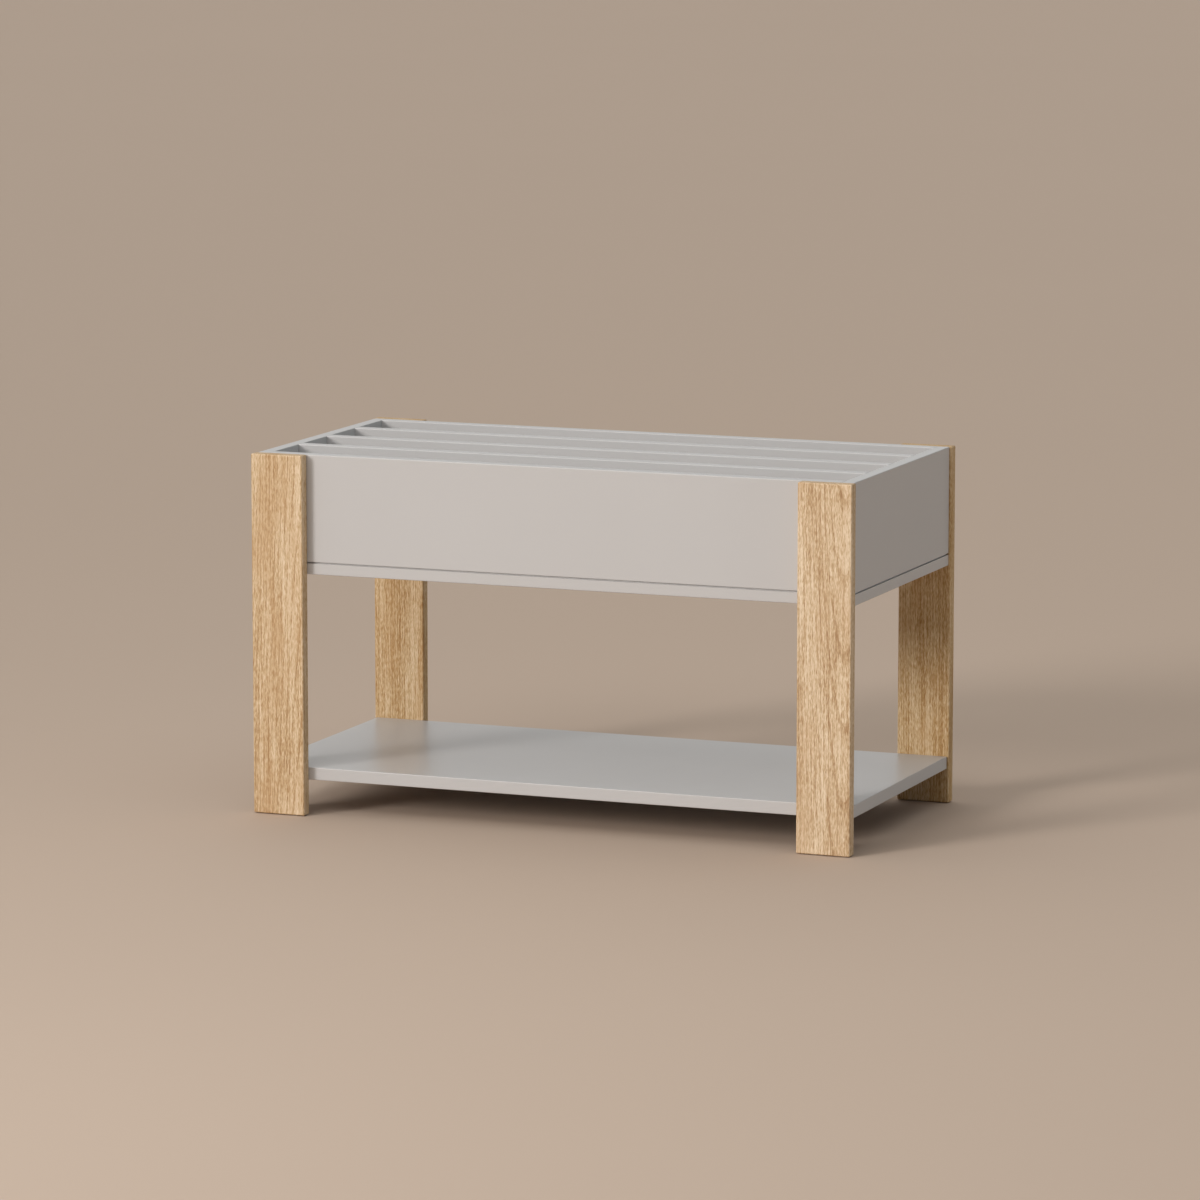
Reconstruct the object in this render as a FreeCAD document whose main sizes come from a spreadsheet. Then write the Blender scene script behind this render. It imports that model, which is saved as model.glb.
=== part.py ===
import FreeCAD, Part
import os
import re
import Sketcher

# Entryway bench: an open box of lacquered boards, divided lengthways into four cells, stands
# between four oak legs, with a shelf of the same board near the floor.
#
# Millimetres, +Z up, +X to the bench's right, -Y to its front. The origin is on the floor, under
# the middle of the bench. Each place and size below is an expression on the named sizes.

SIZES = [
    # the whole bench
    ("bench_length", 800, "overall length, over the legs"),
    ("bench_depth", 400, "overall depth, over the legs"),
    ("bench_height", 460, "floor to the box's rim"),
    # oak legs
    ("leg_width", 70, "leg, across the front"),
    ("leg_thickness", 16, "leg, front to back"),
    ("leg_rounding", 2, "radius of every edge of a leg"),
    # lacquered boards
    ("board_thickness", 16, "thickness of every lacquered board"),
    ("edge_rounding", 1, "radius of the boards' open edges"),
    ("wall_height", 136, "height of the box's walls and dividers"),
    ("end_inset", 3, "box and shelf ends, set in from the legs' outer edges"),
    ("gap_height", 2.2, "height of the shadow gap under the walls"),
    ("gap_depth", 3, "depth of the shadow gap"),
    ("shelf_underside", 45, "floor to the shelf's underside"),
    # where the fittings go
    ("bolt_inset", 15, "leg's inner edge to its bolts"),
    ("bolt_rim", 20, "wall's top or bottom edge to the leg bolts"),
    ("dowel_rim", 40, "wall's top or bottom edge to the dowels"),
    ("shelf_pair", 20, "shelf cam to the dowel on each side of it"),
    ("screw_inset", 80, "board's end to its first bottom screw"),
    ("glide_inset", 14, "leg's side edge to a glide's centre"),
    ("cam_setback", 24, "board's end to the middle of a cam"),
    # play between a fitting and its hole, on the diameter and at the hole's end
    ("bore_play", 0.2, "a hole is this much wider than what it holds"),
    ("bore_spare", 0.5, "a hole is this much deeper than what it holds"),
    # leg bolt, washer and threaded insert
    ("bolt_diameter", 6, "bolt's shank"),
    ("bolt_length", 25, "bolt, under its head"),
    ("bolt_head", 11, "bolt head's diameter"),
    ("head_height", 3.3, "bolt head's height"),
    ("head_crown", 1.6, "height of the head's sloping crown"),
    ("crown_diameter", 7.6, "flat top of the crown"),
    ("socket_width", 4, "hexagon socket, across its flats"),
    ("socket_depth", 2.2, "hexagon socket's depth"),
    ("washer_diameter", 14, "washer's outside"),
    ("washer_thickness", 1.5, "washer's thickness"),
    ("insert_diameter", 10, "insert's outside"),
    ("insert_length", 12, "insert's length"),
    # dowel
    ("dowel_diameter", 8, "dowel's diameter"),
    ("dowel_length", 30, "dowel's length"),
    ("dowel_seat", 10, "dowel's length in a leg or a box end"),
    ("dowel_taper", 1, "taper at each end of a dowel"),
    # cam, its bolt and its cap
    ("cam_diameter", 15, "cam housing's diameter"),
    ("cam_height", 12.4, "cam housing's height"),
    ("ball_play", 1, "the cam's way in is this much wider and deeper than the bolt's head"),
    ("drive_diameter", 6, "round recess in the cam's face"),
    ("drive_depth", 2.6, "depth of that recess"),
    ("drive_reach", 10, "length of the driver slots across the cam's face"),
    ("drive_blade", 1.4, "width of the driver slots"),
    ("stud_thread", 5, "cam bolt's threaded end, diameter"),
    ("stud_hold", 10.5, "cam bolt's threaded end, length"),
    ("stud_collar", 7.4, "cam bolt's collar, diameter"),
    ("collar_length", 2, "cam bolt's collar, length"),
    ("stud_shank", 5.6, "cam bolt's shank, diameter"),
    ("neck_diameter", 4, "cam bolt's neck, diameter"),
    ("neck_length", 3.5, "cam bolt's neck, length, up to the cam's middle"),
    ("ball_length", 3, "cam bolt's head, length"),
    ("ball_diameter", 6.8, "cam bolt's head, diameter"),
    ("cap_lip", 1, "how far a cap reaches past its cam all round"),
    ("cap_thickness", 0.8, "cap's thickness"),
    ("peg_length", 2, "cap's peg, length"),
    # countersunk screw through the box's bottom
    ("screw_diameter", 4, "screw's shank"),
    ("screw_length", 40, "screw's whole length"),
    ("screw_head", 8, "screw head's diameter"),
    ("screw_tip", 4, "length of the point"),
    ("tip_diameter", 0.8, "blunt end of the point"),
    ("cross_reach", 4.4, "driver cross, tip to tip"),
    ("cross_blade", 0.9, "driver cross, width of a slot"),
    ("cross_depth", 1.6, "driver cross, depth"),
    # glide under a leg
    ("glide_diameter", 10, "glide's head, diameter"),
    ("glide_height", 3, "glide's head, height"),
    ("glide_stand", 0.8, "how far a glide stands out of the leg"),
    ("glide_bevel", 0.4, "bevel round the glide's face"),
    ("stem_diameter", 6, "glide's stem, diameter"),
    ("stem_length", 12, "glide's stem, length"),
]

doc = FreeCAD.newDocument("EntrywayBench")
sheet = doc.addObject("Spreadsheet::Sheet", "Sizes")
for row, (size_name, value, meaning) in enumerate(SIZES, start=1):
    sheet.set(f"A{row}", meaning)
    sheet.set(f"B{row}", str(value))
    sheet.setAlias(f"B{row}", size_name)
doc.recompute()

AXES = {
    "+x": FreeCAD.Vector(1, 0, 0),
    "-x": FreeCAD.Vector(-1, 0, 0),
    "+y": FreeCAD.Vector(0, 1, 0),
    "-y": FreeCAD.Vector(0, -1, 0),
    "+z": FreeCAD.Vector(0, 0, 1),
    "-z": FreeCAD.Vector(0, 0, -1),
}


def bind(item, prop, text):
    """Ties a property to the sheet: every name with an underscore in it is a size."""
    item.setExpression(prop, re.sub(r"[a-z]+(_[a-z]+)+", r"Sizes.\g<0>", text))


def facing(heading, side=None):
    """The turn that points +Z along the heading and, where it matters, +X to the side."""
    if side is None:
        return FreeCAD.Rotation(AXES["+z"], AXES[heading])
    return FreeCAD.Rotation(AXES[side], FreeCAD.Vector(), AXES[heading], "ZXY")


def place(item, where, turn=FreeCAD.Rotation()):
    """Gives an item its turn and ties its place, three expressions, to the sheet."""
    item.Placement = FreeCAD.Placement(FreeCAD.Vector(), turn)
    for axis, text in zip("xyz", where):
        bind(item, "Placement.Base." + axis, text)


def draw_rectangle(sketch, across, along):
    """Draws a rectangle from the sketch's origin, with its two sizes tied to the sheet."""
    corners = [FreeCAD.Vector(x, y) for x, y in ((0, 0), (9, 0), (9, 9), (0, 9))]
    for start, end in zip(corners, corners[1:] + corners[:1]):
        sketch.addGeometry(Part.LineSegment(start, end))
    for line, run in enumerate(("Horizontal", "Vertical", "Horizontal", "Vertical")):
        sketch.addConstraint(Sketcher.Constraint(run, line))
        sketch.addConstraint(Sketcher.Constraint("Coincident", line, 2, (line + 1) % 4, 1))
    sketch.addConstraint(Sketcher.Constraint("Coincident", 0, 1, -1, 1))
    for name, line, run, text in (("across", 0, "DistanceX", across), ("along", 1, "DistanceY", along)):
        number = sketch.addConstraint(Sketcher.Constraint(run, line, 1, line, 2, 9))
        sketch.renameConstraint(number, name)
        bind(sketch, "Constraints." + name, text)


class Board:
    """A rectangular board, in its own frame with its low corner at the origin."""

    all_boards = {}

    def __init__(self, name, corner, size):
        self.corner = corner
        self.body = doc.addObject("PartDesign::Body", name)
        self.body.Label = name
        self.block(("0", "0", "0"), size)
        place(self.body, corner)
        Board.all_boards[name] = self

    def block(self, start, size):
        """Adds a block: where it starts in the board's frame, and its size along X, Y and Z."""
        planes = self.body.Origin.OriginFeatures
        floor = next(plane for plane in planes if plane.Role == "XY_Plane")
        sketch = self.body.newObject("Sketcher::SketchObject", self.body.Label + "_outline")
        sketch.AttachmentSupport = [(floor, "")]
        sketch.MapMode = "FlatFace"
        for axis, text in zip("xyz", start):
            bind(sketch, "AttachmentOffset.Base." + axis, text)
        draw_rectangle(sketch, size[0], size[1])
        pad = self.body.newObject("PartDesign::Pad", self.body.Label + "_pad")
        pad.Profile = sketch
        bind(pad, "Length", size[2])
        sketch.Visibility = False

    def round_edges(self, radius, chosen):
        """Rounds the edges where two named sides meet, such as "top front"."""
        doc.recompute()
        solid = self.body.Tip
        box = solid.Shape.BoundBox
        edges = []
        for number, edge in enumerate(solid.Shape.Edges, start=1):
            middle = edge.CenterOfMass
            sides = {
                "left": middle.x - box.XMin,
                "right": box.XMax - middle.x,
                "front": middle.y - box.YMin,
                "back": box.YMax - middle.y,
                "bottom": middle.z - box.ZMin,
                "top": box.ZMax - middle.z,
            }
            touched = {side for side, distance in sides.items() if distance < 1e-6}
            if any(set(pair.split()) <= touched for pair in chosen):
                edges.append(f"Edge{number}")
        fillet = self.body.newObject("PartDesign::Fillet", self.body.Label + "_rounding")
        fillet.Base = (solid, edges)
        bind(fillet, "Radius", radius)

    def inside(self, where):
        """A place in the bench, measured from the board's own corner."""
        return tuple(f"({text}) - ({start})" for text, start in zip(where, self.corner))

    def bore(self, mouth, heading, diameter, depth):
        """Drills a round hole from its mouth, a place in the bench, along the heading."""
        hole = self.body.newObject("PartDesign::SubtractiveCylinder", self.body.Label + "_bore")
        bind(hole, "Radius", f"({diameter}) / 2")
        bind(hole, "Height", depth)
        place(hole, self.inside(mouth), facing(heading))

    def countersink(self, mouth, heading, wide, narrow):
        """Widens a hole's mouth to a 90 degree cone."""
        sink = self.body.newObject("PartDesign::SubtractiveCone", self.body.Label + "_countersink")
        bind(sink, "Radius1", f"({wide}) / 2")
        bind(sink, "Radius2", f"({narrow}) / 2")
        bind(sink, "Height", f"(({wide}) - ({narrow})) / 2")
        place(sink, self.inside(mouth), facing(heading))


# Planes that several boards share. A mirrored pair uses each with -1 and +1.
LEG_BACK = "(bench_depth / 2 - leg_thickness)"
BOX_END = "(bench_length / 2 - end_inset)"
INNER_END = "(bench_length / 2 - end_inset - board_thickness)"
INNER_FACE = "(bench_depth / 2 - leg_thickness - board_thickness)"
WALL_FOOT = "(bench_height - wall_height)"
BOX_UNDERSIDE = "(bench_height - wall_height - board_thickness)"
DIVIDER_PITCH = "((bench_depth - 2 * leg_thickness - board_thickness) / 4)"
SHELF_MIDDLE = "(shelf_underside + board_thickness / 2)"
MID_THICKNESS = "(bench_depth / 2 - leg_thickness - board_thickness / 2)"

ALL_EDGES = [
    "top front", "top back", "top left", "top right",
    "bottom front", "bottom back", "bottom left", "bottom right",
    "left front", "left back", "right front", "right back",
]
SIDES = {"left": -1, "right": 1}
FACES = {"front": -1, "back": 1}


def mirrored(sign, text):
    """The same distance on the left or front, -1, or on the right or back, +1."""
    return f"{sign} * ({text})"


# Legs: four flat oak boards, wide side to the front, outside the box's front and back walls.
for face in FACES:
    for side in SIDES:
        leg_left = "-bench_length / 2" if side == "left" else "bench_length / 2 - leg_width"
        leg_front = "-bench_depth / 2" if face == "front" else LEG_BACK
        leg = Board(
            f"leg_{face}_{side}",
            (leg_left, leg_front, "glide_stand"),
            ("leg_width", "leg_thickness", "bench_height - glide_stand"),
        )
        leg.round_edges("leg_rounding", ALL_EDGES)

# Box walls: the ends run the full depth, and the front and back stand between them, so that
# their joints are behind the legs.
for face in FACES:
    wall_front = "-" + LEG_BACK if face == "front" else INNER_FACE
    wall = Board(
        f"{face}_panel",
        ("-" + INNER_END, wall_front, WALL_FOOT),
        ("2 * " + INNER_END, "board_thickness", "wall_height"),
    )
    wall.round_edges("edge_rounding", ["top front", "top back"])

for side in SIDES:
    end_left = "-" + BOX_END if side == "left" else INNER_END
    end = Board(
        f"{side}_panel",
        (end_left, "-" + LEG_BACK, WALL_FOOT),
        ("board_thickness", "2 * " + LEG_BACK, "wall_height"),
    )
    end.round_edges(
        "edge_rounding",
        ["top left", "top right", "top front", "top back", f"{side} front", f"{side} back"],
    )

# Dividers: three boards on edge, as tall as the walls, which leave four equal cells.
DIVIDERS = {"divider_front": -1, "divider_middle": 0, "divider_back": 1}
for name, step in DIVIDERS.items():
    divider = Board(
        name,
        ("-" + INNER_END, f"{step} * {DIVIDER_PITCH} - board_thickness / 2", WALL_FOOT),
        ("2 * " + INNER_END, "board_thickness", "wall_height"),
    )
    divider.round_edges("edge_rounding", ["top front", "top back"])

# Bottom: one board under walls and dividers. Its upper edge is stepped back all round, which
# leaves the shadow gap under the walls.
bottom = Board(
    "bottom_panel",
    ("-" + BOX_END, "-" + LEG_BACK, BOX_UNDERSIDE),
    ("2 * " + BOX_END, "2 * " + LEG_BACK, "board_thickness - gap_height"),
)
bottom.round_edges("edge_rounding", [edge for edge in ALL_EDGES if "top" not in edge])
bottom.block(
    ("gap_depth", "gap_depth", "board_thickness - gap_height"),
    (f"2 * ({BOX_END} - gap_depth)", f"2 * ({LEG_BACK} - gap_depth)", "gap_height"),
)

# Shelf: a board with the box's outline, held between the legs.
shelf = Board(
    "lower_shelf",
    ("-" + BOX_END, "-" + LEG_BACK, "shelf_underside"),
    ("2 * " + BOX_END, "2 * " + LEG_BACK, "board_thickness"),
)
shelf.round_edges("edge_rounding", ALL_EDGES)


def rod(name, diameter, start, end):
    """A round bar along Z, between two heights."""
    bar = doc.addObject("Part::Cylinder", name)
    bind(bar, "Radius", f"({diameter}) / 2")
    bind(bar, "Height", f"({end}) - ({start})")
    place(bar, ("0", "0", start))
    return bar


def taper(name, first, last, start, end):
    """A round bar along Z whose diameter changes evenly from the first to the last."""
    bar = doc.addObject("Part::Cone", name)
    bind(bar, "Radius1", f"({first}) / 2")
    bind(bar, "Radius2", f"({last}) / 2")
    bind(bar, "Height", f"({end}) - ({start})")
    place(bar, ("0", "0", start))
    return bar


def driver_cross(name, reach, blade, depth):
    """The two crossed slots of a driver recess, cut down from Z = 0."""
    slots = []
    for across, along in ((reach, blade), (blade, reach)):
        slot = doc.addObject("Part::Box", name)
        bind(slot, "Length", across)
        bind(slot, "Width", along)
        bind(slot, "Height", depth)
        place(slot, (f"-({across}) / 2", f"-({along}) / 2", "0"))
        slots.append(slot)
    return slots


def joined(name, pieces):
    """One solid from pieces that touch."""
    whole = doc.addObject("Part::MultiFuse", name)
    whole.Shapes = pieces
    whole.Refine = True
    return whole


def hollowed(name, solid, hollows):
    """A solid with one or more hollows cut out of it."""
    if len(hollows) > 1:
        tool = joined(name + "_hollows", hollows)
    else:
        tool = hollows[0]
    rest = doc.addObject("Part::Cut", name)
    rest.Base = solid
    rest.Tool = tool
    return rest


# Fittings. Each pattern is drawn once, on its own axis: Z = 0 is the face that it seats on and
# +Z is the way it is driven in.
bolt_solid = joined("bolt_solid", [
    taper("bolt_crown", "crown_diameter", "bolt_head", "-head_height", "head_crown - head_height"),
    rod("bolt_rim", "bolt_head", "head_crown - head_height", "0"),
    rod("bolt_shank", "bolt_diameter", "0", "bolt_length"),
])
bolt_socket = doc.addObject("Part::Prism", "bolt_socket")
bolt_socket.Polygon = 6
bind(bolt_socket, "Circumradius", "socket_width / sqrt(3)")
bind(bolt_socket, "Height", "socket_depth")
place(bolt_socket, ("0", "0", "-head_height"))
BOLT = hollowed("bolt_pattern", bolt_solid, [bolt_socket])

WASHER = hollowed(
    "washer_pattern",
    rod("washer_disc", "washer_diameter", "-washer_thickness", "0"),
    [rod("washer_hole", "bolt_diameter + 2 * bore_play", "-washer_thickness", "0")],
)

INSERT = hollowed(
    "insert_pattern",
    rod("insert_bush", "insert_diameter", "0", "insert_length"),
    [rod("insert_hole", "bolt_diameter + bore_play", "0", "insert_length")],
)

DOWEL = joined("dowel_pattern", [
    taper("dowel_first", "dowel_diameter - 2 * dowel_taper", "dowel_diameter",
          "-dowel_seat", "dowel_taper - dowel_seat"),
    rod("dowel_middle", "dowel_diameter",
        "dowel_taper - dowel_seat", "dowel_length - dowel_seat - dowel_taper"),
    taper("dowel_last", "dowel_diameter", "dowel_diameter - 2 * dowel_taper",
          "dowel_length - dowel_seat - dowel_taper", "dowel_length - dowel_seat"),
])

# The cam's way in lies halfway through the board, and opens along +X towards its bolt.
cam_passage = doc.addObject("Part::Cylinder", "cam_way_in")
bind(cam_passage, "Radius", "(ball_diameter + ball_play) / 2")
bind(cam_passage, "Height", "ball_length + ball_play + cam_diameter / 2")
place(cam_passage, ("-ball_length - ball_play", "0", "board_thickness / 2"), facing("+x"))
CAM = hollowed(
    "cam_pattern",
    rod("cam_housing", "cam_diameter", "0", "cam_height"),
    [cam_passage, rod("cam_recess", "drive_diameter", "0", "drive_depth")]
    + driver_cross("cam_slot", "drive_reach", "drive_blade", "drive_depth"),
)

STUD = joined("stud_pattern", [
    rod("stud_threaded", "stud_thread", "-stud_hold", "0"),
    rod("stud_collar_ring", "stud_collar", "0", "collar_length"),
    rod("stud_straight", "stud_shank", "collar_length", "cam_setback - neck_length"),
    rod("stud_neck", "neck_diameter", "cam_setback - neck_length", "cam_setback"),
    rod("stud_ball", "ball_diameter", "cam_setback", "cam_setback + ball_length"),
])

CAP = joined("cap_pattern", [
    rod("cap_disc", "cam_diameter + 2 * cap_lip", "-cap_thickness", "0"),
    rod("cap_peg", "drive_diameter - 2 * bore_play", "0", "peg_length"),
])

screw_solid = joined("screw_solid", [
    taper("screw_cone", "screw_head", "screw_diameter", "0", "(screw_head - screw_diameter) / 2"),
    rod("screw_shank", "screw_diameter",
        "(screw_head - screw_diameter) / 2", "screw_length - screw_tip"),
    taper("screw_point", "screw_diameter", "tip_diameter",
          "screw_length - screw_tip", "screw_length"),
])
SCREW = hollowed(
    "screw_pattern",
    screw_solid,
    driver_cross("screw_slot", "cross_reach", "cross_blade", "cross_depth"),
)

GLIDE = joined("glide_pattern", [
    taper("glide_face", "glide_diameter - 2 * glide_bevel", "glide_diameter", "0", "glide_bevel"),
    rod("glide_head", "glide_diameter", "glide_bevel", "glide_height"),
    rod("glide_stem", "stem_diameter", "glide_height", "glide_height + stem_length"),
])


def fit(node, pattern, places):
    """One node of like fittings: a copy of the pattern, a solid of its own, at each place."""
    copies = []
    for where, turn in places:
        copy = doc.addObject("App::Link", node + "_copy")
        copy.LinkedObject = pattern
        place(copy, where, turn)
        copies.append(copy)
    group = doc.addObject("Part::Compound", node)
    group.Label = node
    group.Links = copies
    return group


boards = Board.all_boards
inward = {"front": "+y", "back": "-y", "left": "+x", "right": "-x"}
outward = {"front": "-y", "back": "+y", "left": "-x", "right": "+x"}
DOWEL_BORE = "dowel_diameter + bore_play"
DOWEL_REACH = "dowel_length - dowel_seat + bore_spare"
STUD_BORE = "stud_thread + bore_play"
SHANK_BORE = "stud_collar + bore_play"
CAM_BORE = "cam_diameter + bore_play"
BOLT_X = "bench_length / 2 - leg_width + bolt_inset"
LEG_MIDDLE = "bench_length / 2 - leg_width / 2"
LOW_BOLT = f"{WALL_FOOT} + bolt_rim"
HIGH_BOLT = "bench_height - bolt_rim"
LOW_DOWEL = f"{WALL_FOOT} + dowel_rim"
HIGH_DOWEL = "bench_height - dowel_rim"

# Leg bolts: from inside the box, through the wall, into a threaded insert in the leg's back.
bolt_places = []
washer_places = []
insert_places = []
for face, face_sign in FACES.items():
    for side, side_sign in SIDES.items():
        for bolt_z in (LOW_BOLT, HIGH_BOLT):
            bolt_x = mirrored(side_sign, BOLT_X)
            in_wall = (bolt_x, mirrored(face_sign, INNER_FACE), bolt_z)
            in_leg = (bolt_x, mirrored(face_sign, LEG_BACK), bolt_z)
            under_head = (bolt_x, mirrored(face_sign, f"{INNER_FACE} - washer_thickness"), bolt_z)
            turn = facing(outward[face])
            bolt_places.append((under_head, turn))
            washer_places.append((in_wall, turn))
            insert_places.append((in_leg, turn))
            boards[f"{face}_panel"].bore(
                in_wall, outward[face], "bolt_diameter + 2 * bore_play", "board_thickness")
            boards[f"leg_{face}_{side}"].bore(
                in_leg, outward[face], "insert_diameter + bore_play", "insert_length + bore_spare")
fit("leg_bolts", BOLT, bolt_places)
fit("leg_bolt_washers", WASHER, washer_places)
fit("leg_inserts", INSERT, insert_places)

# Box corners: a cam in the front or back wall pulls it to the box's end, between two dowels.
dowel_places = []
stud_places = []
cam_places = []
cap_places = []
for face, face_sign in FACES.items():
    wall = boards[f"{face}_panel"]
    for side, side_sign in SIDES.items():
        end = boards[f"{side}_panel"]
        joint_x = mirrored(side_sign, INNER_END)
        joint_y = mirrored(face_sign, MID_THICKNESS)
        for dowel_z in (LOW_DOWEL, HIGH_DOWEL):
            seat = (joint_x, joint_y, dowel_z)
            dowel_places.append((seat, facing(inward[side])))
            end.bore(seat, outward[side], DOWEL_BORE, "dowel_seat + bore_spare")
            wall.bore(seat, inward[side], DOWEL_BORE, DOWEL_REACH)
        cam_z = f"{WALL_FOOT} + wall_height / 2"
        cam_x = mirrored(side_sign, f"{INNER_END} - cam_setback")
        cam_face = (cam_x, mirrored(face_sign, INNER_FACE), cam_z)
        stud_seat = (joint_x, joint_y, cam_z)
        stud_places.append((stud_seat, facing(inward[side])))
        cam_places.append((cam_face, facing(outward[face], outward[side])))
        cap_places.append((cam_face, facing(outward[face])))
        end.bore(stud_seat, outward[side], STUD_BORE, "stud_hold + bore_spare")
        wall.bore(stud_seat, inward[side], SHANK_BORE, "cam_setback")
        wall.bore(cam_face, outward[face], CAM_BORE, "cam_height")
fit("corner_dowels", DOWEL, dowel_places)
fit("corner_cam_bolts", STUD, stud_places)
fit("corner_cams", CAM, cam_places)
fit("corner_cam_caps", CAP, cap_places)

# Dividers: two dowels in each end.
dowel_places = []
for name, step in DIVIDERS.items():
    for side, side_sign in SIDES.items():
        for dowel_z in (LOW_DOWEL, HIGH_DOWEL):
            seat = (mirrored(side_sign, INNER_END), f"{step} * {DIVIDER_PITCH}", dowel_z)
            dowel_places.append((seat, facing(inward[side])))
            boards[f"{side}_panel"].bore(
                seat, outward[side], DOWEL_BORE, "dowel_seat + bore_spare")
            boards[name].bore(seat, inward[side], DOWEL_BORE, DOWEL_REACH)
fit("divider_dowels", DOWEL, dowel_places)

# Bottom screws: countersunk, up through the bottom into the lower edges of walls and dividers.
# Each row has its board, how many screws it takes, and the line that they stand on.
long_rows = [("front_panel", 4, mirrored(-1, MID_THICKNESS)), ("back_panel", 4, MID_THICKNESS)]
long_rows += [(name, 3, f"{step} * {DIVIDER_PITCH}") for name, step in DIVIDERS.items()]
screw_holes = []
for name, count, row_y in long_rows:
    for number in range(count):
        share = 2 * number / (count - 1) - 1
        screw_holes.append((name, (f"{share} * ({INNER_END} - screw_inset)", row_y, BOX_UNDERSIDE)))
for side, side_sign in SIDES.items():
    row_x = mirrored(side_sign, f"{INNER_END} + board_thickness / 2")
    for sign in FACES.values():
        row_y = mirrored(sign, f"{LEG_BACK} - screw_inset")
        screw_holes.append((f"{side}_panel", (row_x, row_y, BOX_UNDERSIDE)))
screw_places = []
for name, head in screw_holes:
    screw_places.append((head, facing("+z")))
    through = "screw_diameter + bore_play"
    bottom.bore(head, "+z", through, "board_thickness")
    bottom.countersink(head, "+z", "screw_head", through)
    edge = (head[0], head[1], WALL_FOOT)
    boards[name].bore(edge, "+z", through, "screw_length - board_thickness + bore_spare")
fit("bottom_screws", SCREW, screw_places)

# Shelf: a cam on its underside pulls it to each leg, between two dowels.
dowel_places = []
stud_places = []
cam_places = []
cap_places = []
for face, face_sign in FACES.items():
    for side, side_sign in SIDES.items():
        leg = boards[f"leg_{face}_{side}"]
        joint_y = mirrored(face_sign, LEG_BACK)
        for shift in (-1, 1):
            dowel_x = mirrored(side_sign, f"{LEG_MIDDLE} + {shift} * shelf_pair")
            seat = (dowel_x, joint_y, SHELF_MIDDLE)
            dowel_places.append((seat, facing(inward[face])))
            leg.bore(seat, outward[face], DOWEL_BORE, "dowel_seat + bore_spare")
            shelf.bore(seat, inward[face], DOWEL_BORE, DOWEL_REACH)
        cam_x = mirrored(side_sign, LEG_MIDDLE)
        cam_y = mirrored(face_sign, f"{LEG_BACK} - cam_setback")
        cam_face = (cam_x, cam_y, "shelf_underside")
        stud_seat = (cam_x, joint_y, SHELF_MIDDLE)
        stud_places.append((stud_seat, facing(inward[face])))
        cam_places.append((cam_face, facing("+z", outward[face])))
        cap_places.append((cam_face, facing("+z")))
        leg.bore(stud_seat, outward[face], STUD_BORE, "stud_hold + bore_spare")
        shelf.bore(stud_seat, inward[face], SHANK_BORE, "cam_setback")
        shelf.bore(cam_face, "+z", CAM_BORE, "cam_height")
fit("shelf_dowels", DOWEL, dowel_places)
fit("shelf_cam_bolts", STUD, stud_places)
fit("shelf_cams", CAM, cam_places)
fit("shelf_cam_caps", CAP, cap_places)

# Glides: two under each leg, let into its foot, which they hold just off the floor.
glide_places = []
for face, face_sign in FACES.items():
    for side, side_sign in SIDES.items():
        for offset in ("leg_width - glide_inset", "glide_inset"):
            glide_x = mirrored(side_sign, f"bench_length / 2 - ({offset})")
            glide_y = mirrored(face_sign, "bench_depth / 2 - leg_thickness / 2")
            glide_places.append(((glide_x, glide_y, "0"), facing("+z")))
            leg = boards[f"leg_{face}_{side}"]
            foot = (glide_x, glide_y, "glide_stand")
            leg.bore(foot, "+z", "glide_diameter + bore_play", "glide_height - glide_stand")
            leg.bore(foot, "+z", "stem_diameter + bore_play",
                     "glide_height - glide_stand + stem_length + bore_spare")
fit("leg_glides", GLIDE, glide_places)

doc.recompute()

# Nothing is written unless every object is sound and every hole removed material.
for item in doc.Objects:
    if {"Invalid", "Error"} & set(item.State):
        raise RuntimeError(f"{item.Label} is {item.State}")
    if item.TypeId in ("PartDesign::SubtractiveCylinder", "PartDesign::SubtractiveCone"):
        if item.Shape.Volume > item.BaseFeature.Shape.Volume - 0.5:
            raise RuntimeError(f"{item.Label} cuts nothing")

nodes = [board.body for board in boards.values()]
nodes += [item for item in doc.Objects if item.TypeId == "Part::Compound"]
for node in nodes:
    shape = node.Shape
    wanted = len(node.Links) if node.TypeId == "Part::Compound" else 1
    if shape.isNull() or not shape.isValid() or len(shape.Solids) != wanted:
        raise RuntimeError(f"{node.Label} has no sound shape")

os.makedirs("parts", exist_ok=True)
for node in nodes:
    node.Shape.exportStep(f"parts/{node.Label}.step")
    box = node.Shape.BoundBox
    print(f"{node.Label}: {len(node.Shape.Solids)} solids, {box.XLength:.1f} x {box.YLength:.1f} x "
          f"{box.ZLength:.1f} mm, {node.Shape.Volume / 1000:.1f} cm3")
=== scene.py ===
import math

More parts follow.
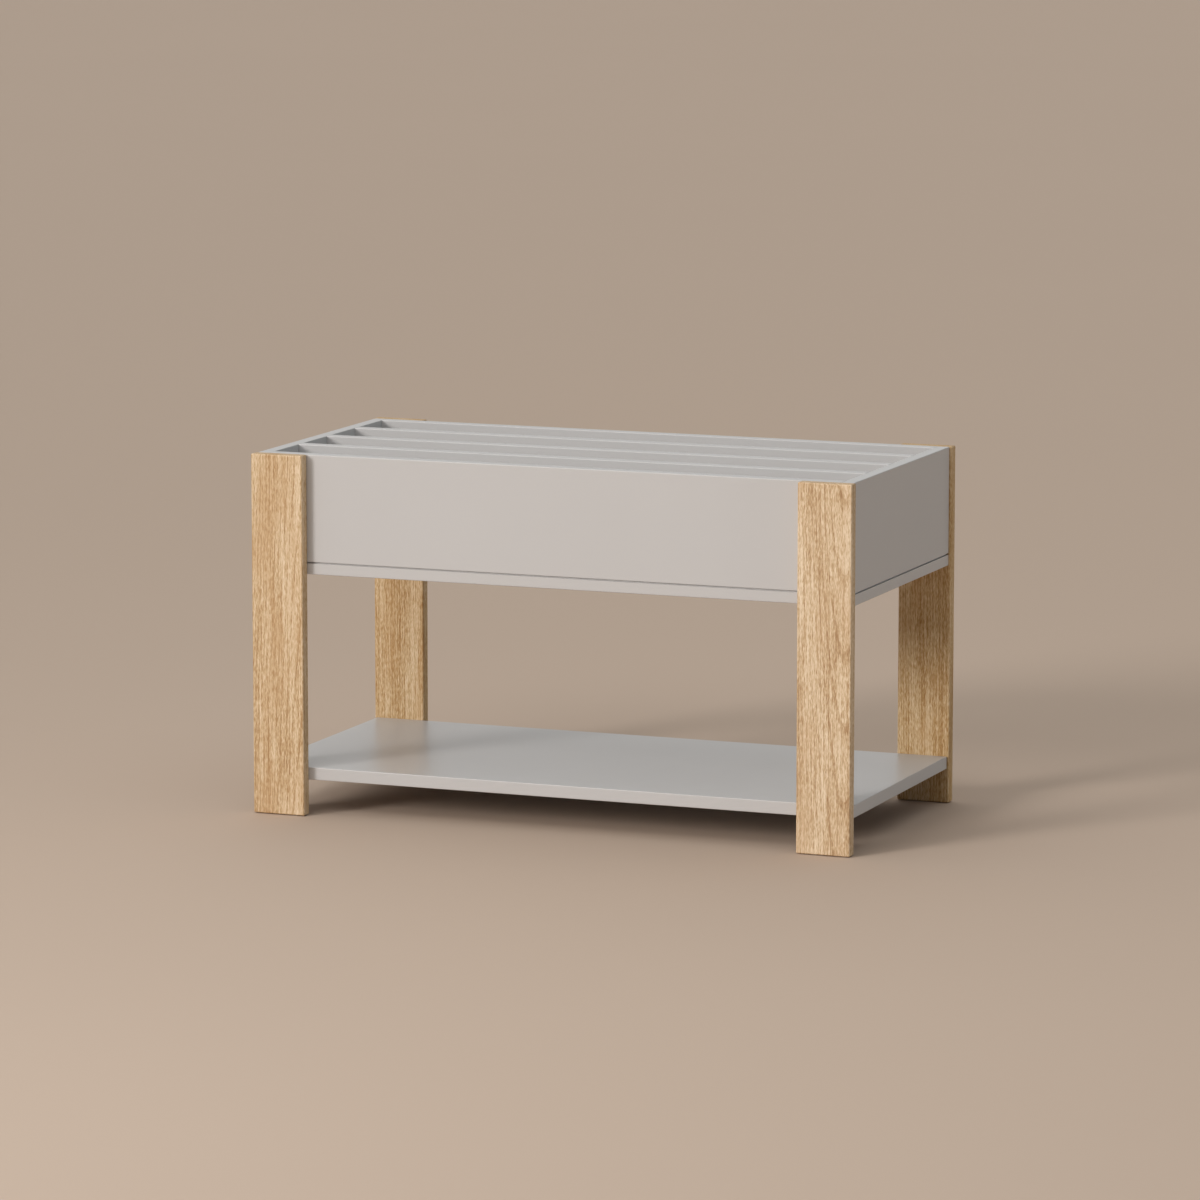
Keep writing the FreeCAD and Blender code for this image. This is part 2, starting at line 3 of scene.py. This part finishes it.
import bmesh
import bpy
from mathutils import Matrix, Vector


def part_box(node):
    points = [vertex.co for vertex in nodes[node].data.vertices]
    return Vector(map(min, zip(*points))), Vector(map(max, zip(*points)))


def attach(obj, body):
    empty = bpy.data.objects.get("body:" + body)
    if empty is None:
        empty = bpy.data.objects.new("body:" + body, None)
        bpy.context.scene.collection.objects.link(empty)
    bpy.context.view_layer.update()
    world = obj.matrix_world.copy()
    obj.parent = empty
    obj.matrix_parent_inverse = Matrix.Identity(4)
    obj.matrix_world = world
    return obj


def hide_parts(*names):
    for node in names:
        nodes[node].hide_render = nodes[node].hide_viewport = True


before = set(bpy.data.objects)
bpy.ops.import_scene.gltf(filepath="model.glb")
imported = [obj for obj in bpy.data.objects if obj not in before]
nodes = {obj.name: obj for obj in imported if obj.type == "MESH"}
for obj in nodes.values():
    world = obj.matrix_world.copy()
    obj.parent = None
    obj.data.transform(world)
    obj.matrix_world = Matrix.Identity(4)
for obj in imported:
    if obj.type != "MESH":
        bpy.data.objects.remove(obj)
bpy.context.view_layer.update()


# The box and the shelf: nine 16 mm boards with eased edges, cut to size and bored for their
# fittings, then sprayed all over in a warm light grey satin lacquer. The spray leaves a very
# fine orange peel, a few darker specks and a slightly uneven sheen.

class Link:
    """A shader socket. An expression on links and numbers adds its Math nodes."""

    def __init__(self, finish, socket):
        self.finish = finish
        self.socket = socket

    def __add__(self, other):
        return self.finish.math("ADD", self, other)

    def __sub__(self, other):
        return self.finish.math("SUBTRACT", self, other)

    def __rsub__(self, other):
        return self.finish.math("SUBTRACT", other, self)

    def __mul__(self, other):
        return self.finish.math("MULTIPLY", self, other)

    def __truediv__(self, other):
        return self.finish.math("DIVIDE", self, other)

    def __rtruediv__(self, other):
        return self.finish.math("DIVIDE", other, self)

    __radd__ = __add__
    __rmul__ = __mul__


class Finish:
    """One material, made node by node."""

    def __init__(self, name):
        self.material = bpy.data.materials.new(name)
        self.material.use_nodes = True
        self.tree = self.material.node_tree
        self.tree.nodes.clear()

    def add(self, kind, settings=None, sockets=None, output=0):
        """A node of this type, with its settings and then its sockets set, as a Link to one of
        its outputs. A ramp's stops are a setting, each a position and a linear colour."""
        node = self.tree.nodes.new(kind)
        for name, value in (settings or {}).items():
            if name == "stops":
                while len(node.color_ramp.elements) < len(value):
                    node.color_ramp.elements.new(1.0)
                for element, (position, colour) in zip(node.color_ramp.elements, value):
                    element.position = position
                    element.color = (*colour, 1.0)
            else:
                setattr(node, name, value)
        for name, value in (sockets or {}).items():
            if isinstance(value, Link):
                self.tree.links.new(value.socket, node.inputs[name])
            else:
                node.inputs[name].default_value = value
        return Link(self, node.outputs[output]) if node.outputs else None

    def math(self, operation, *inputs):
        return self.add("ShaderNodeMath", {"operation": operation}, dict(enumerate(inputs)))

    def place(self):
        """The point being shaded, in metres in the bench's own frame."""
        return self.add("ShaderNodeTexCoord", output="Object")

    def part(self, vector, axis):
        """A vector's X, Y or Z."""
        return self.add("ShaderNodeSeparateXYZ", {}, {"Vector": vector}, output=axis)

    def noise(self, point, size, detail=2.0, shift=(0.0, 0.0, 0.0)):
        """Noise about 0.5. size is how large its features are in millimetres, either one number
        or one for each axis, and shift moves it to another part of its pattern."""
        sizes = size if isinstance(size, tuple) else (size, size, size)
        per_metre = [1000 / length for length in sizes]
        scaled = self.add("ShaderNodeMapping", {},
                          {"Vector": point, "Location": shift, "Scale": per_metre})
        return self.add("ShaderNodeTexNoise", {},
                        {"Vector": scaled, "Scale": 1.0, "Detail": detail})

    def ramp(self, factor, *stops):
        """Colour against factor. Each stop is a position and a linear colour."""
        return self.add("ShaderNodeValToRGB", {"stops": stops}, {"Fac": factor})

    def step(self, factor, start, end):
        """0 at start, 1 at end, smooth between and level beyond. Either may be the larger."""
        return self.add("ShaderNodeMapRange", {"interpolation_type": "SMOOTHSTEP"},
                        {"Value": factor, "From Min": start, "From Max": end})

    def mix(self, factor, first, second):
        """Colour first to colour second, each a Link or a linear colour."""
        first, second = [c if isinstance(c, Link) else (*c, 1.0) for c in (first, second)]
        return self.add("ShaderNodeMix", {"data_type": "RGBA"}, {0: factor, 6: first, 7: second},
                        output=2)

    def bump(self, height, depth):
        """A normal for relief of that depth in millimetres where height runs from 0 to 1."""
        return self.add("ShaderNodeBump", {}, {"Height": height, "Distance": depth / 1000})

    def finished(self, **sockets):
        """Ends the material in a Principled shader. Underscores in names stand for spaces."""
        sockets = {name.replace("_", " "): value for name, value in sockets.items()}
        shader = self.add("ShaderNodeBsdfPrincipled", {}, sockets)
        self.add("ShaderNodeOutputMaterial", {}, {"Surface": shader})
        return self.material


def give(names, material):
    """Puts a material on CAD nodes."""
    for name in names:
        slots = nodes[name].data.materials
        slots.clear()
        slots.append(material)


boards = ["front_panel", "back_panel", "left_panel", "right_panel", "divider_front",
          "divider_middle", "divider_back", "bottom_panel", "lower_shelf"]
paint = Finish("lacquered_board")
point = paint.place()
cloud = paint.noise(point, 200.0, 3.0)
speck = paint.noise(point, 1.3)
peel = paint.noise(point, 6.25, 1.0)
sheen = paint.noise(point, 111.0, 3.0)
lacquer_grey = paint.mix(cloud * 0.6 + speck * 0.4, (0.490, 0.469, 0.454), (0.526, 0.503, 0.486))
lacquer_grey = paint.mix(paint.step(speck, 0.72, 0.80) * 0.10, lacquer_grey, (0.400, 0.382, 0.368))
give(boards, paint.finished(Base_Color=lacquer_grey, Roughness=0.28 + sheen * 0.08,
                            Normal=paint.bump(peel, 0.003), Specular_IOR_Level=0.5))


# Corner fittings: at each corner of the box a steel cam bolt, screwed into the end panel between
# two fluted beech dowels, goes into the front or back wall. The dowels are turned, cut to 30 mm
# and glued in. The bolts are turned, threaded and plated with bright zinc.

def solids(name):
    """The lowest and highest corner of each separate solid in a CAD node, whose mesh is loose
    triangles until its corners are welded."""
    weld = 0.00001
    copy = bmesh.new()
    copy.from_mesh(nodes[name].data)
    bmesh.ops.remove_doubles(copy, verts=copy.verts, dist=weld)
    unseen = set(copy.verts)
    boxes = []
    while unseen:
        reached = [unseen.pop()]
        for corner in reached:
            around = {edge.other_vert(corner) for edge in corner.link_edges} & unseen
            unseen -= around
            reached.extend(around)
        places = [corner.co for corner in reached]
        boxes.append((Vector(map(min, zip(*places))), Vector(map(max, zip(*places)))))
    copy.free()
    return sorted(boxes, key=lambda box: tuple(box[0]))


def turned(outline, steps=36):
    """A solid turned about Z from an outline of (radius, height) points, in millimetres. An
    outline that starts on the axis ends there too, and any other is a closed ring."""
    weld = 0.001
    work = bmesh.new()
    corners = [work.verts.new((radius, 0.0, height)) for radius, height in outline]
    followers = corners[1:] if outline[0][0] == 0.0 else corners[1:] + corners[:1]
    edges = [work.edges.new(pair) for pair in zip(corners, followers)]
    bmesh.ops.spin(work, geom=corners + edges, axis=(0, 0, 1), cent=(0, 0, 0), dvec=(0, 0, 0),
                   angle=2 * math.pi, steps=steps, use_merge=True)
    bmesh.ops.remove_doubles(work, verts=work.verts, dist=weld)
    bmesh.ops.recalc_face_normals(work, faces=work.faces)
    return work


def reshape(work, low, high, radius, radius_at):
    """Moves the points that stand at one radius on a turned solid, between two heights, to the
    radius that radius_at gives for a height and an angle round the axis."""
    near = 0.01
    for corner in work.verts:
        x, y, height = corner.co
        across = math.hypot(x, y)
        if low <= height <= high and abs(across - radius) <= near:
            corner.co.xy = corner.co.xy * (radius_at(height, math.atan2(y, x)) / across)


def folded(angle, sides):
    """The angle from the middle of the nearest of so many equal sides."""
    share = 2 * math.pi / sides
    return (angle + share / 2) % share - share / 2


def thread_heights(low, high, pitch):
    """Heights at which a thread's outline has a point: six to the turn."""
    count = math.ceil((high - low) / (pitch / 6))
    return [low + (high - low) * number / count for number in range(count + 1)]


def cut_thread(work, radius, depth, pitch, low, high):
    """A thread that fades in and out over its first and last half turn. A negative depth cuts
    outwards, into the wall of a bore."""
    def radius_at(height, angle):
        groove = abs(2 * ((height / pitch - angle / (2 * math.pi)) % 1) - 1)
        fade = min(1.0, (height - low) / (pitch / 2), (high - height) / (pitch / 2))
        return radius - depth * groove * max(fade, 0.0)

    reshape(work, low, high, radius, radius_at)


def fit(name, cad_node, work, heading_at, material):
    """Puts a copy of a turned fitting where each solid of a CAD node is, along the heading that
    heading_at gives for its middle, and lets them stand for that node."""
    millimetre = 0.001
    sharp = math.radians(35)
    bmesh.ops.scale(work, vec=(millimetre, millimetre, millimetre), verts=work.verts)
    heights = [corner.co.z for corner in work.verts]
    bmesh.ops.translate(work, vec=(0, 0, -(min(heights) + max(heights)) / 2), verts=work.verts)
    for face in work.faces:
        face.smooth = True
    fittings = bpy.data.meshes.new(name)
    work.to_mesh(fittings)
    work.free()
    whole = bmesh.new()
    for low, high in solids(cad_node):
        middle = (low + high) / 2
        before = len(whole.verts)
        whole.from_mesh(fittings)
        whole.verts.ensure_lookup_table()
        added = whole.verts[before:]
        turn = Vector(heading_at(middle)).to_track_quat("Z", "Y").to_matrix()
        bmesh.ops.rotate(whole, cent=(0, 0, 0), matrix=turn, verts=added)
        bmesh.ops.translate(whole, vec=middle, verts=added)
    whole.to_mesh(fittings)
    whole.free()
    fittings.set_sharp_from_angle(angle=sharp)
    fittings.materials.append(material)
    piece = bpy.data.objects.new(name, fittings)
    bpy.context.scene.collection.objects.link(piece)
    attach(piece, "root")
    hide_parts(cad_node)


def beech(name, fleck_size):
    """Beech, pinkish and even, with short dark flecks of a size in millimetres on each axis."""
    wood = Finish(name)
    point = wood.place()
    grain = wood.noise(point, tuple(25 * length for length in fleck_size), 3.0)
    fleck = wood.noise(point, fleck_size, 1.0)
    colour = wood.ramp(grain, (0.28, (0.470, 0.270, 0.145)), (0.50, (0.570, 0.350, 0.200)),
                       (0.74, (0.660, 0.440, 0.275)))
    colour = wood.mix(wood.step(fleck, 0.60, 0.70) * 0.60, colour, (0.260, 0.115, 0.050))
    return wood.finished(Base_Color=colour, Roughness=0.62 + grain * 0.18,
                         Normal=wood.bump(fleck, 0.05), Specular_IOR_Level=0.3)


def fluted_dowel():
    """8 x 30 mm, bevelled at both ends, with straight flutes that let the glue out."""
    radius = 4.0
    length = 30.0
    bevel = 1.0
    run_out = 0.5
    flutes = 18
    flute_depth = 0.35
    dowel = turned([(0.0, 0.0), (radius - bevel, 0.0), (radius, bevel), (radius, bevel + run_out),
                    (radius, length - bevel - run_out), (radius, length - bevel),
                    (radius - bevel, length), (0.0, length)], steps=6 * flutes)

    def flute(height, angle):
        return radius - flute_depth * max(0.0, math.cos(flutes * angle)) ** 2

    reshape(dowel, bevel, length - bevel, radius, flute)
    return dowel


def cam_bolt():
    """37.5 mm long: a thread for wood, a collar, a shank, a neck and a rounded head. The names
    without radius are the heights at which each starts and the bolt ends."""
    thread_radius = 2.5
    collar_radius = 3.7
    shank_radius = 2.8
    neck_radius = 2.0
    head_radius = 3.4
    first = 0.6
    last = 10.1
    collar = 10.5
    shank = 12.5
    neck = 31.0
    head = 34.5
    end = 37.5
    pitch = 1.25
    groove = 0.75
    bevel = 0.2
    outline = [(0.0, 0.0), (thread_radius - groove, 0.0)]
    outline += [(thread_radius, height) for height in thread_heights(first, last, pitch)]
    outline += [(thread_radius, collar), (collar_radius - bevel, collar),
                (collar_radius, collar + bevel), (collar_radius, shank - bevel),
                (collar_radius - bevel, shank), (shank_radius, shank),
                (shank_radius, neck - 2 * bevel), (neck_radius, neck), (neck_radius, head),
                (head_radius - 0.5, head), (head_radius, head + 0.5), (head_radius, end - 1.0),
                (head_radius - 0.8, end - bevel), (head_radius - 1.6, end), (0.0, end)]
    bolt = turned(outline)
    cut_thread(bolt, thread_radius, groove, pitch, first, last)
    return bolt


def inward_along(middle):
    """From an end of the bench towards its middle."""
    return (-math.copysign(1, middle.x), 0, 0)


plate = Finish("zinc_plated_steel")
point = plate.place()
film = plate.noise(point, 7.1, 3.0)
stain = plate.noise(point, 1.1)
scratch = plate.noise(point, (2.0, 2.0, 0.17))
zinc_colour = plate.ramp(film, (0.30, (0.560, 0.580, 0.610)), (0.50, (0.640, 0.645, 0.650)),
                         (0.72, (0.700, 0.670, 0.590)))
zinc_colour = plate.mix(plate.step(stain, 0.58, 0.75) * 0.35, zinc_colour, (0.380, 0.380, 0.370))
zinc_plate = plate.finished(Base_Color=zinc_colour, Roughness=0.22 + stain * 0.20 + film * 0.10,
                            Normal=plate.bump(scratch, 0.01), Metallic=1.0)
beech_along = beech("beech_along", (2.0, 0.29, 0.29))
fit("corner_dowels_fluted", "corner_dowels", fluted_dowel(), inward_along, beech_along)
fit("corner_cam_bolts_threaded", "corner_cam_bolts", cam_bolt(), inward_along, zinc_plate)


# Cams: zinc housings, die cast and left as cast, dull grey and slightly grainy. Each lies in a
# round pocket, and a turn with a screwdriver pulls its bolt's head in.

casting = Finish("zinc_casting")
point = casting.place()
skin = casting.noise(point, 0.7, 4.0)
flow = casting.noise(point, 4.5)
cast_colour = casting.ramp(flow, (0.30, (0.300, 0.305, 0.315)), (0.70, (0.430, 0.435, 0.440)))
cast_colour = casting.mix(casting.step(skin, 0.40, 0.28) * 0.5, cast_colour, (0.180, 0.180, 0.185))
give(["corner_cams", "shelf_cams"],
     casting.finished(Base_Color=cast_colour, Roughness=0.44 + skin * 0.22,
                      Normal=casting.bump(skin, 0.08), Metallic=0.85))


# Cam caps: thin discs moulded in the boards' grey, with the fine spark texture of their mould.
# A peg on each is pushed into its cam's recess and holds the disc against the board.

cap = Finish("cap_plastic")
point = cap.place()
spark = cap.noise(point, 0.38)
batch = cap.noise(point, 16.7)
cap_colour = cap.mix(batch, (0.478, 0.457, 0.442), (0.500, 0.479, 0.463))
cap_colour = cap.mix(cap.step(spark, 0.62, 0.74) * 0.25, cap_colour, (0.430, 0.410, 0.395))
give(["corner_cam_caps", "shelf_cam_caps"],
     cap.finished(Base_Color=cap_colour, Roughness=0.40 + spark * 0.16,
                  Normal=cap.bump(spark, 0.03)))


# Divider dowels: beech, of the corners' size and grain. Two in each end of each divider are
# glued into the end panels, and keep the dividers upright and flush with the rim.

fit("divider_dowels_fluted", "divider_dowels", fluted_dowel(), inward_along, beech_along)


# Bottom screws: countersunk steel screws with a driver cross and a coarse thread, plated like
# the cam bolts. They go up through the bottom board into the lower edges of walls and dividers.

def wood_screw():
    """4 x 40 mm with an 8 mm head. Height 0 is the face of the head."""
    head_radius = 4.0
    shank_radius = 2.0
    edge = 0.1
    length = 40.0
    point_length = 4.0
    tip_radius = 0.4
    cross_reach = 2.2
    cross_blade = 0.9
    cross_depth = 1.6
    cross_floor = 0.5
    first = 12.0
    last = length - point_length
    pitch = 1.8
    groove = 0.7
    outline = [(0.0, cross_depth), (cross_floor, cross_depth), (cross_reach, 0.0),
               (head_radius - edge, 0.0), (head_radius, 1.5 * edge),
               (shank_radius, head_radius - shank_radius), (shank_radius, first - 0.3)]
    outline += [(shank_radius, height) for height in thread_heights(first, last, pitch)]
    outline += [(tip_radius, length - 0.2), (0.0, length)]
    screw = turned(outline, steps=32)
    cut_thread(screw, shank_radius, groove, pitch, first, last)

    def cross(height, angle):
        aside = max(abs(math.sin(folded(angle, 4))), 0.01)
        return min(cross_reach, cross_blade / 2 / aside)

    reshape(screw, -edge, edge, cross_reach, cross)
    return screw


def upward(middle):
    """The same for every middle."""
    return (0, 0, 1)


fit("bottom_screws_threaded", "bottom_screws", wood_screw(), upward, zinc_plate)


# The legs: four flat boards of solid oak, planed, rounded over on every edge and wiped with a
# clear matt oil. Each is cut from another place in the log, so each has its own figure. Each leg's
# lightness and colour strength are painted light and shade: the back legs, in the box's shade,
# are painted darker and richer, and the lit front right one less rich. They stand against the
# box's front and back walls, with their wide sides to the front.

def oak(name, pith, lean, ring, tone_and_shade, light_and_shade_richness):
    """Oiled oak of one leg. pith is how far the log's middle lies from the leg's, lean how far it
    drifts per metre of height, ring the width of a year's growth, tone a shift of the figure and
    of lightness, and richness how strong its colour is. The lightness and the richness paint the
    light and shade the leg stands in, darker and richer in shade. Sizes are in metres."""
    wood = Finish(name)
    point = wood.place()
    low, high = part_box(name)
    middle = (low + high) / 2

    # rings: distance from a pith that leans and wanders, dark where each year's growth starts
    slow_shift = (pith[0] * 40, pith[1] * 40, tone_and_shade * 9)
    wander_shift = (pith[1] * 55, tone_and_shade * 20, 0)
    slow = wood.noise(point, (111.0, 111.0, 312.0), 1.0, slow_shift) - 0.5
    wander = wood.noise(point, (33.0, 33.0, 111.0), 2.0, wander_shift) - 0.5
    height = wood.part(point, "Z") - middle.z
    across = wood.part(point, "X") - (middle.x + pith[0]) - height * lean[0]
    across = across + slow * 0.012 + wander * 0.004
    through = wood.part(point, "Y") - (middle.y + pith[1]) - height * lean[1]
    radius = wood.math("SQRT", across * across + through * through)
    phase = wood.math("FRACT", radius / ring)
    early = wood.step(phase, 0.36, 0.02) * wood.step(phase, 0.0, 0.03)

    # fibres: streaks of five sizes along the leg, each about 0 in the middle
    fine = wood.noise(point, (0.67, 0.67, 5.3), 1.0) - 0.5
    dash = wood.noise(point, (1.1, 1.1, 16.7), 1.0) - 0.5
    line = wood.noise(point, (1.56, 1.56, 200.0), 1.0) - 0.5
    streak = wood.noise(point, (3.85, 3.85, 250.0), 1.0) - 0.5
    broad = wood.noise(point, (24.0, 24.0, 200.0), 2.0, (tone_and_shade * 50, 0, 0)) - 0.5
    shade = 0.58 + fine * 1.45 + dash * 0.50 + line * 0.80 + streak * 0.35 + broad * 0.75
    body = wood.ramp(shade - early * 0.26, (0.08, (0.330, 0.175, 0.068)),
                     (0.36, (0.460, 0.285, 0.132)), (0.55, (0.570, 0.398, 0.225)),
                     (0.74, (0.665, 0.495, 0.315)), (0.95, (0.740, 0.580, 0.400)))

    # browner zones, nearer the heart of the log
    heart = wood.noise(point, (33.0, 33.0, 143.0), 2.0, (0, tone_and_shade * 70, 3))
    body = wood.mix(wood.step(heart, 0.48, 0.68) * 0.34, body, (0.500, 0.300, 0.140))

    # rays: silvery flecks that run out from the pith, in noise with features one unit large
    angle = wood.math("ARCTAN2", through, across)
    polar = wood.add("ShaderNodeCombineXYZ", {}, {"X": angle * 130, "Y": radius * 55, "Z": height * 60})
    ray = wood.step(wood.noise(polar, 1000.0, 1.0), 0.63, 0.72)
    body = wood.mix(ray * 0.25, body, (0.700, 0.540, 0.350))

    # pores: short dark vessels, crowded in the early wood and few elsewhere
    vessel = wood.noise(point, (0.53, 0.53, 5.9), 1.0)
    pore = wood.step(vessel, 0.60, 0.70) * (early * 0.85 + 0.15)
    body = wood.mix(pore * 0.50, body, (0.250, 0.125, 0.045))

    # end grain drinks more oil, so the sawn ends are darker
    upright = wood.part(wood.add("ShaderNodeTexCoord", output="Normal"), "Z")
    sawn = wood.step(wood.math("ABSOLUTE", upright), 0.75, 0.95)
    body = wood.mix(sawn * 0.30, body, (0.420, 0.250, 0.110))
    # painted light and shade: each leg's lightness and colour strength follow the light it stands in,
    # darker and richer on the back legs in the box's shade
    body = wood.add("ShaderNodeHueSaturation", {},
                    {"Color": body, "Value": 1.05 + tone_and_shade, "Saturation": light_and_shade_richness})
    return wood.finished(Base_Color=body, Roughness=0.58 + dash * 0.2 - ray * 0.08 + pore * 0.15,
                         Normal=wood.bump(fine * 0.5 + dash * 0.3 - pore, 0.06),
                         Specular_IOR_Level=0.38)


# each leg's pith, lean, ring, tone and richness, whose lightness and colour strength are painted
# light and shade
growth_of = {
    "leg_front_left": ((0.045, 0.080), (0.012, 0.020), 0.0027, -0.04, 1.00),
    "leg_front_right": ((0.028, 0.060), (0.006, -0.030), 0.0028, 0.01, 0.94),
    "leg_back_left": ((-0.060, 0.055), (0.010, 0.030), 0.0025, -0.07, 1.08),
    "leg_back_right": ((0.080, 0.050), (-0.008, -0.020), 0.0030, -0.12, 1.12),
}
for leg, growth in growth_of.items():
    give([leg], oak(leg, *growth))


# Leg inserts: brass bushes for the bolts, turned from bar with a coarse thread outside and an
# M6 thread inside, and driven into the legs' inner faces. Handling leaves dull brown spots.

def insert_bush():
    """10 x 12 mm, bored 6.2 mm."""
    radius = 5.0
    bore_radius = 3.1
    length = 12.0
    bevel = 0.6
    bore_bevel = 0.4
    pitch = 2.4
    groove = 0.9
    bore_pitch = 1.0
    bore_groove = 0.5
    first = bevel
    last = length - bevel
    outline = [(radius - bevel, 0.0)]
    outline += [(radius, height) for height in thread_heights(first, last, pitch)]
    outline += [(radius - bevel, length), (bore_radius + bore_bevel, length)]
    outline += [(bore_radius, height) for height in reversed(thread_heights(first, last, bore_pitch))]
    outline += [(bore_radius + bore_bevel, 0.0)]
    bush = turned(outline)
    cut_thread(bush, radius, groove, pitch, first, last)
    cut_thread(bush, bore_radius, -bore_groove, bore_pitch, first, last)
    return bush


def outward_across(middle):
    """From the box towards the front or the back."""
    return (0, math.copysign(1, middle.y), 0)


brass = Finish("brass")
point = brass.place()
turning = brass.noise(point, (8.3, 0.11, 8.3), 1.0)
tarnish = brass.noise(point, 3.8, 4.0)
brass_colour = brass.ramp(tarnish, (0.35, (0.740, 0.540, 0.230)), (0.55, (0.640, 0.440, 0.170)),
                          (0.75, (0.400, 0.260, 0.110)))
bar_brass = brass.finished(Base_Color=brass_colour,
                           Roughness=0.24 + tarnish * 0.22 + turning * 0.06,
                           Normal=brass.bump(turning, 0.02), Metallic=1.0)
fit("leg_inserts_threaded", "leg_inserts", insert_bush(), outward_across, bar_brass)


# Leg bolts and washers: M6 steel with a button head and a hexagon socket, plated with bright
# zinc. They go from inside the box through the front and back walls and pull the legs tight.

def button_bolt():
    """M6 x 25 with an 11 mm head. Height 0 is the flat top of the head."""
    thread_radius = 3.0
    head_radius = 5.5
    flat_radius = 3.8
    head_height = 3.3
    edge = 0.2
    length = 28.3
    across_flats = 4.0
    socket_radius = 0.55 * across_flats
    socket_depth = 2.2
    mouth_radius = 2.6
    mouth_depth = 0.25
    first = 9.3
    last = 27.7
    pitch = 1.0
    groove = 0.58
    outline = [(0.0, socket_depth), (socket_radius, socket_depth), (socket_radius, mouth_depth),
               (mouth_radius, 0.0), (flat_radius, 0.0), (4.9, 0.7), (5.4, 1.5), (head_radius, 2.0),
               (head_radius, head_height - edge), (head_radius - edge, head_height),
               (thread_radius, head_height)]
    outline += [(thread_radius, height) for height in thread_heights(first, last, pitch)]
    outline += [(thread_radius - groove, length), (0.0, length)]
    bolt = turned(outline)
    cut_thread(bolt, thread_radius, groove, pitch, first, last)

    def hexagon(height, angle):
        return across_flats / 2 / math.cos(folded(angle + math.radians(30), 6))

    reshape(bolt, mouth_depth, socket_depth, socket_radius, hexagon)
    return bolt


fit("leg_bolts_threaded", "leg_bolts", button_bolt(), outward_across, zinc_plate)
give(["leg_bolt_washers"], zinc_plate)


# Shelf fittings: at each leg a cam bolt between two fluted dowels goes from the leg's inner face
# into the shelf's edge. They are the box corners' pieces, laid across the bench.

def inward_across(middle):
    """From the front or the back towards the middle of the bench."""
    return (0, -math.copysign(1, middle.y), 0)


fit("shelf_dowels_fluted", "shelf_dowels", fluted_dowel(), inward_across,
    beech("beech_across", (0.29, 2.0, 0.29)))
fit("shelf_cam_bolts_threaded", "shelf_cam_bolts", cam_bolt(), inward_across, zinc_plate)


# Glides: nylon, moulded in brown, two driven into each foot. The floor scuffs their faces, which
# leaves pale scratches and dulls them.

nylon = Finish("glide_nylon")
point = nylon.place()
grit = nylon.noise(point, 0.45)
scuff = nylon.noise(point, (2.4, 0.38, 1.1), 3.0)
worn = nylon.step(nylon.part(point, "Z"), 0.0008, 0.0001)
nylon_colour = nylon.mix(grit, (0.300, 0.225, 0.155), (0.345, 0.262, 0.183))
nylon_colour = nylon.mix(worn * nylon.step(scuff, 0.50, 0.62) * 0.6, nylon_colour,
                         (0.560, 0.500, 0.430))
give(["leg_glides"],
     nylon.finished(Base_Color=nylon_colour, Roughness=0.42 + grit * 0.12 + worn * 0.2,
                    Normal=nylon.bump(grit + scuff * worn, 0.04)))


# The studio: a plain pale floor, a large soft key light low on the left, a soft sky, weak glows
# from behind and from the right, and a softbox over the floor in front. The camera looks down a
# little from the front right.

ground = Finish("floor")
ground_colour = ground.mix(ground.noise(ground.place(), 1667.0), (0.508, 0.394, 0.310),
                           (0.518, 0.402, 0.316))
floor_mesh = bpy.data.meshes.new("floor")
sheet = bmesh.new()
bmesh.ops.create_grid(sheet, x_segments=1, y_segments=1, size=60.0)
sheet.to_mesh(floor_mesh)
sheet.free()
floor_mesh.materials.append(
    ground.finished(Base_Color=ground_colour, Roughness=0.9, Specular_IOR_Level=0.1))
floor = bpy.data.objects.new("floor", floor_mesh)
scene = bpy.context.scene
scene.collection.objects.link(floor)

scene.view_settings.view_transform = "Standard"
world = bpy.data.worlds.new("studio")
world.use_nodes = True
sky = world.node_tree.nodes["Background"]
sky.inputs["Color"].default_value = (0.99, 1.00, 1.00, 1.0)
sky.inputs["Strength"].default_value = 0.17
scene.world = world


def direction(azimuth, elevation):
    """A level turn to the right of the front and a height above the horizon, in degrees."""
    turn, rise = math.radians(azimuth), math.radians(elevation)
    level = math.cos(rise)
    return Vector((math.sin(turn) * level, -math.cos(turn) * level, math.sin(rise)))


def stand(name, data, place, aim):
    """Puts a lamp or a camera at a place, pointed at another."""
    thing = bpy.data.objects.new(name, data)
    scene.collection.objects.link(thing)
    thing.location = place
    thing.rotation_euler = (Vector(aim) - Vector(place)).to_track_quat("-Z", "Y").to_euler()
    return thing


def glow(name, azimuth, elevation, spread, strength, colour):
    """A light so large and far away that it is even over the whole floor."""
    lamp = bpy.data.lights.new(name, "SUN")
    lamp.energy = strength
    lamp.angle = math.radians(spread)
    lamp.color = colour
    stand(name, lamp, direction(azimuth, elevation) * 5, (0, 0, 0))


glow("key", -32, 18, 16, 1.76, (1.01, 1.00, 0.99))
glow("dome", -70, 72, 120, 1.39, (0.98, 1.00, 1.00))
glow("back", 201, 14, 60, 0.35, (1.00, 1.00, 0.98))
glow("right", 81, 4, 10, 0.36, (0.86, 1.04, 1.16))

# the softbox: metres across, and watts
softbox = bpy.data.lights.new("softbox", "AREA")
softbox.size = 1.6
softbox.energy = 25
stand("softbox", softbox, (-0.6, -2.5, 2.2), (-0.6, -2.5, 0.0))

lens = bpy.data.cameras.new("camera")
lens.lens = 182.5
lens.clip_end = 200.0
aim = Vector((-0.036, 0.074, 0.2546))
distance = 7.8
scene.camera = stand("camera", lens, aim + direction(21.57, 8.83) * distance, aim)
